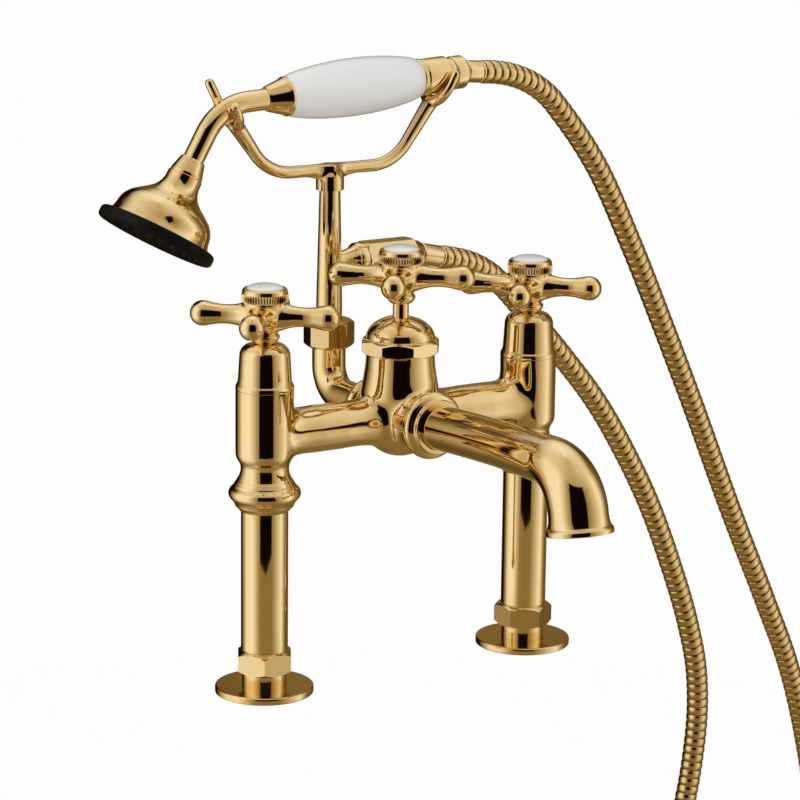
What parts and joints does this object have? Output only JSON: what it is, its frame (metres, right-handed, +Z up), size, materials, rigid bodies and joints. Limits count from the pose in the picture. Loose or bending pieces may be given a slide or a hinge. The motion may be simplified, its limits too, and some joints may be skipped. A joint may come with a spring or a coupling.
{
  "type": "bath shower mixer",
  "caption": "Deck-mounted bath shower mixer in polished gold: legs, cross handles on a cast bridge, swan spout, and a cradled hand shower with a white grip on a ribbed hose.",
  "frame": {"origin": "midway between the axes of the two legs, on the deck under the flanges", "axes": "+X from the hot leg to the cold leg, -Y forward along the spout, +Z up"},
  "size_m": [0.562, 0.3087, 0.6964],
  "materials": {
    "polished_gold": "polished",
    "satin_gold": "satin",
    "hose_gold": "polished",
    "plain_brass": "machined",
    "porcelain": "gloss",
    "disc_ceramic": "lapped",
    "rose_rubber": "satin",
    "seal_rubber": "matt",
    "fibre": "matt"
  },
  "bodies": {
    "mixer": {"mixer_body": "polished_gold", "hot_flange": "satin_gold", "cold_flange": "satin_gold", "hot_tail": "satin_gold", "cold_tail": "satin_gold", "hot_leg_nut": "satin_gold", "cold_leg_nut": "satin_gold", "hot_leg": "polished_gold", "cold_leg": "polished_gold", "hot_collar": "polished_gold", "cold_collar": "polished_gold", "leg_washers": "fibre", "hot_bonnet": "polished_gold", "cold_bonnet": "polished_gold", "diverter_bonnet": "polished_gold", "hot_cartridge": "plain_brass", "cold_cartridge": "plain_brass", "diverter_cartridge": "plain_brass", "fixed_discs": "disc_ceramic", "seat_seals": "seal_rubber", "spout_collar": "polished_gold", "spout": "polished_gold", "rear_collar": "polished_gold", "rear_elbow": "polished_gold", "collar_seals": "seal_rubber", "riser_nut": "polished_gold", "riser_washer": "fibre", "riser": "polished_gold", "cradle": "polished_gold", "lower_hose_nut": "polished_gold", "lower_hose_washer": "seal_rubber", "lower_ferrule": "polished_gold", "hose": "hose_gold"},
    "hot_valve": {"hot_handle": "polished_gold", "hot_index_ring": "polished_gold", "hot_index": "porcelain", "hot_spindle": "polished_gold", "hot_moving_disc": "disc_ceramic"},
    "cold_valve": {"cold_handle": "polished_gold", "cold_index_ring": "polished_gold", "cold_index": "porcelain", "cold_spindle": "polished_gold", "cold_moving_disc": "disc_ceramic"},
    "diverter_valve": {"diverter_handle": "polished_gold", "diverter_index_ring": "polished_gold", "diverter_index": "porcelain", "diverter_spindle": "polished_gold", "diverter_moving_disc": "disc_ceramic"},
    "handset": {"bell": "polished_gold", "rose": "rose_rubber", "neck": "polished_gold", "front_ferrule": "polished_gold", "grip": "porcelain", "grip_tube": "plain_brass", "rear_ferrule": "polished_gold", "upper_hose_nut": "polished_gold", "upper_hose_washer": "seal_rubber", "upper_ferrule": "polished_gold"}
  },
  "joints": [
    {"name": "hot_handle_turn", "type": "hinge", "parent": "mixer", "child": "hot_valve", "pos_m": [-0.09, 0, 0.2183], "axis": [0, 0, 1], "range_deg": [0, 90]},
    {"name": "cold_handle_turn", "type": "hinge", "parent": "mixer", "child": "cold_valve", "pos_m": [0.09, 0, 0.2183], "axis": [0, 0, 1], "range_deg": [-90, 0]},
    {"name": "diverter_handle_turn", "type": "hinge", "parent": "mixer", "child": "diverter_valve", "pos_m": [0, 0, 0.2333], "axis": [0, 0, 1], "range_deg": [0, 90]},
    {"name": "handset_lift", "type": "slide", "parent": "mixer", "child": "handset", "axis": [0, 0, 1], "range_m": [0, 0.08], "deforming": ["hose"]}
  ]
}
